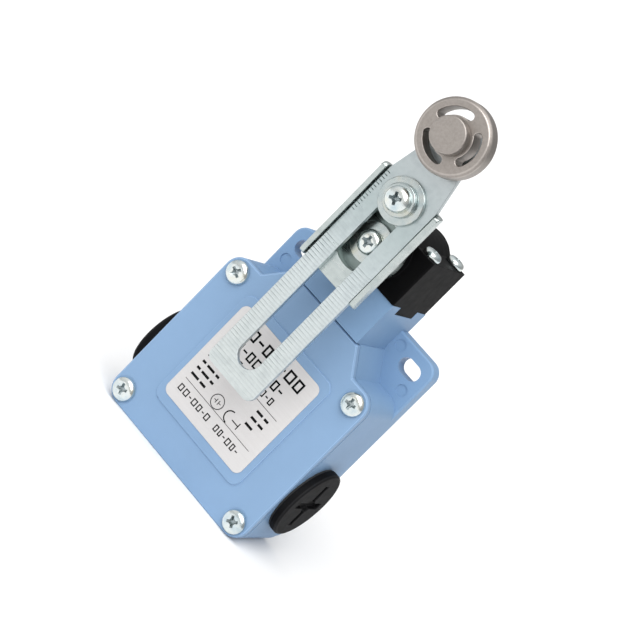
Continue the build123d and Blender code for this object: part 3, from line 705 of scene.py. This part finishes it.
# rules, then the strokes of the contact diagram: left, bottom, width, height
PRINT_STROKES = (
    (3.0, 18.2, 26.6, 0.16), (2.4, 7.0, 27.6, 0.16),
    (12.6, 9.29, 0.9, 0.22), (14.3, 9.29, 0.9, 0.22), (13.35, 8.7, 0.22, 1.4),
    (14.2, 8.7, 0.22, 1.4), (20.4, 9.05, 2.6, 0.30), (22.8, 8.1, 0.30, 2.2),
)
# the diagram's circle and arc: centre, radius, line width, first and last degree, steps
PRINT_ARCS = (
    (13.9, 9.4, 1.95, 0.24, 0.0, 360.0, 40),
    (19.6, 9.2, 1.70, 0.36, 90.0, 270.0, 24),
)


def make_print():
    """Generic bars, rules and a contact diagram printed on the label, with no lettering."""
    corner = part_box("label_plate")[0]
    ink = bmesh.new()

    def patch(points):
        """Printed patch between (x, z) points on the label."""
        prism(ink, *([corner + Vector((x, y, z)) * MM for x, z in points]
                     for y in (-INK_PROUD, INK_SUNK)))

    def bar(x, z, wide, tall):
        patch(((x, z), (x + wide, z), (x + wide, z + tall), (x, z + tall)))

    for x, z, tall, gap, line, widths in PRINT_FRAMES:
        for number, wide in enumerate(widths):
            if number % 3 == 2:
                wide *= DASH
                bar(x, z + (tall - line) / 2, wide, line)
            else:
                bar(x, z, wide, line)
                bar(x, z + tall - line, wide, line)
                bar(x, z + line, line, tall - 2 * line)
                bar(x + wide - line, z + line, line, tall - 2 * line)
            x += wide + gap
    for x, z, widths in PRINT_BARS:
        for wide in widths:
            bar(x, z, wide, BAR_TALL)
            x += wide + BAR_GAP
    for stroke in PRINT_STROKES:
        bar(*stroke)
    for x, z, radius, line, first, last, steps in PRINT_ARCS:
        turns = [math.radians(first + (last - first) * i / steps) for i in range(steps + 1)]
        for a, b in zip(turns, turns[1:]):
            corners = ((a, radius), (a, radius + line), (b, radius + line), (b, radius))
            patch([(x + r * math.cos(t), z + r * math.sin(t)) for t, r in corners])
    obj = closed("label_print", ink)
    dress(obj, MATERIALS["plug_black"])
    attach(obj, "body")
    return obj


# ---- stage ---------------------------------------------------------------------------------
FLOOR_WHITE = 0.92
FLOOR_HALF = 40.0           # metres, half the floor's side
FLOOR_GAP = 0.02            # under the lowest point
KEY_FROM = (0.14, -0.66, 0.74)
KEY_STRENGTH = 2.4
KEY_SPREAD = 60.0           # degrees
SKY_STRENGTH = 0.95
SKY_BRIGHTEST = (-0.35, -0.3, 0.85)
SKY_DIM = 0.42              # away from there, against 1 there


def make_floor():
    m = Nodes("pale_floor")
    m.set(Base_Color=(FLOOR_WHITE, FLOOR_WHITE, FLOOR_WHITE, 1.0), Roughness=0.9)
    bm = bmesh.new()
    bmesh.ops.create_grid(bm, x_segments=1, y_segments=1, size=FLOOR_HALF)
    floor = dress(from_bmesh("floor", bm), m.material)
    floor.location.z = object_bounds()[0][2] - FLOOR_GAP * MM


def make_key_light():
    """Broad soft light from a direction, the same over the whole floor."""
    data = bpy.data.lights.new("key", "SUN")
    data.energy = KEY_STRENGTH
    data.angle = math.radians(KEY_SPREAD)
    light = new_object("key", data)
    light.location = KEY_FROM
    light.rotation_euler = Vector(KEY_FROM).to_track_quat("Z", "Y").to_euler()


def make_world():
    """White surroundings that get brighter towards one direction."""
    world = bpy.data.worlds.new("studio")
    world.use_nodes = True
    tree = world.node_tree
    coords = tree.nodes.new("ShaderNodeTexCoord")
    facing = tree.nodes.new("ShaderNodeVectorMath")
    facing.operation = "DOT_PRODUCT"
    facing.inputs[1].default_value = Vector(SKY_BRIGHTEST).normalized()
    ramp = tree.nodes.new("ShaderNodeValToRGB")
    ramp.color_ramp.elements[0].color = (SKY_DIM, SKY_DIM, SKY_DIM, 1.0)
    ramp.color_ramp.elements[1].color = (1.0, 1.0, 1.0, 1.0)
    back = tree.nodes["Background"]
    tree.links.new(coords.outputs["Generated"], facing.inputs[0])
    tree.links.new(facing.outputs["Value"], ramp.inputs["Fac"])
    tree.links.new(ramp.outputs["Color"], back.inputs["Color"])
    back.inputs["Strength"].default_value = SKY_STRENGTH
    bpy.context.scene.world = world


def make_camera():
    yaw, pitch, roll = (math.radians(a) for a in (CAMERA_YAW, CAMERA_PITCH, CAMERA_ROLL))
    back = Vector((math.sin(yaw) * math.cos(pitch), -math.cos(yaw) * math.cos(pitch),
                   math.sin(pitch)))
    right = Vector((math.cos(yaw), math.sin(yaw), 0.0))
    up = back.cross(right)
    x_axis = right * math.cos(roll) + up * math.sin(roll)
    y_axis = -right * math.sin(roll) + up * math.cos(roll)
    data = bpy.data.cameras.new("camera")
    data.lens = CAMERA_LENS
    data.sensor_width = CAMERA_SENSOR
    camera = new_object("camera", data)
    turn = Matrix((x_axis, y_axis, back)).transposed().to_4x4()
    camera.matrix_world = Matrix.Translation(CAMERA_TARGET + back * CAMERA_DISTANCE) @ turn
    bpy.context.scene.camera = camera


# ---- put it together -----------------------------------------------------------------------
for name, obj in frame["nodes"].items():
    dress(obj, MATERIALS[SLOT_OF[name]])

soften("housing", 0.35, 3)
soften("cover", 0.09, 2, whole=False, clamp=False)
soften("label_plate", 0.05, 1)
soften("conduit_plug_left", 0.35, 3)
soften("conduit_plug_right", 0.35, 3)
soften("head_body", 0.16, 2, whole=False, clamp=False)
soften("lever_hub", 0.25, 2, whole=False, clamp=False)
soften("roller", 0.25, 3)
soften("roller_rivet", 0.30, 3, material=RIVET)
make_arm()
make_print()

# the springs, which close up with the plunger's stroke, each get a mesh of their own
for spring in ("plunger_spring", "block_spring"):
    copy = shade(clean_copy(spring), 60)
    stand_for(copy, spring)
    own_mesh(copy)

screws("cover_screws", head_r=3.4, head_h=1.9, shank_r=1.75, turns=(0.35, 1.15, 0.62, 0.2))
screws("clamp_screw", head_r=3.55, head_h=2.6, shank_r=2.4, turns=(0.5,))
screws("shaft_screw", head_r=3.5, head_h=2.4, shank_r=1.6, turns=(0.15,))
screws("head_screws", head_r=2.75, head_h=2.1, shank_r=1.3, turns=(0.4, 0.9, 0.1, 1.3), up=True)
turned_ring("clamp_washer", outer=6.5, inner=2.5, thick=1.25, edge=0.34)
turned_ring("clamp_collar", outer=4.6, inner=2.5, thick=1.7, edge=0.45)
turned_ring("shaft_washer", outer=5.85, inner=1.8, thick=1.0, edge=0.22)

make_floor()
make_camera()
make_key_light()
make_world()
bpy.context.scene.view_settings.view_transform = "Standard"
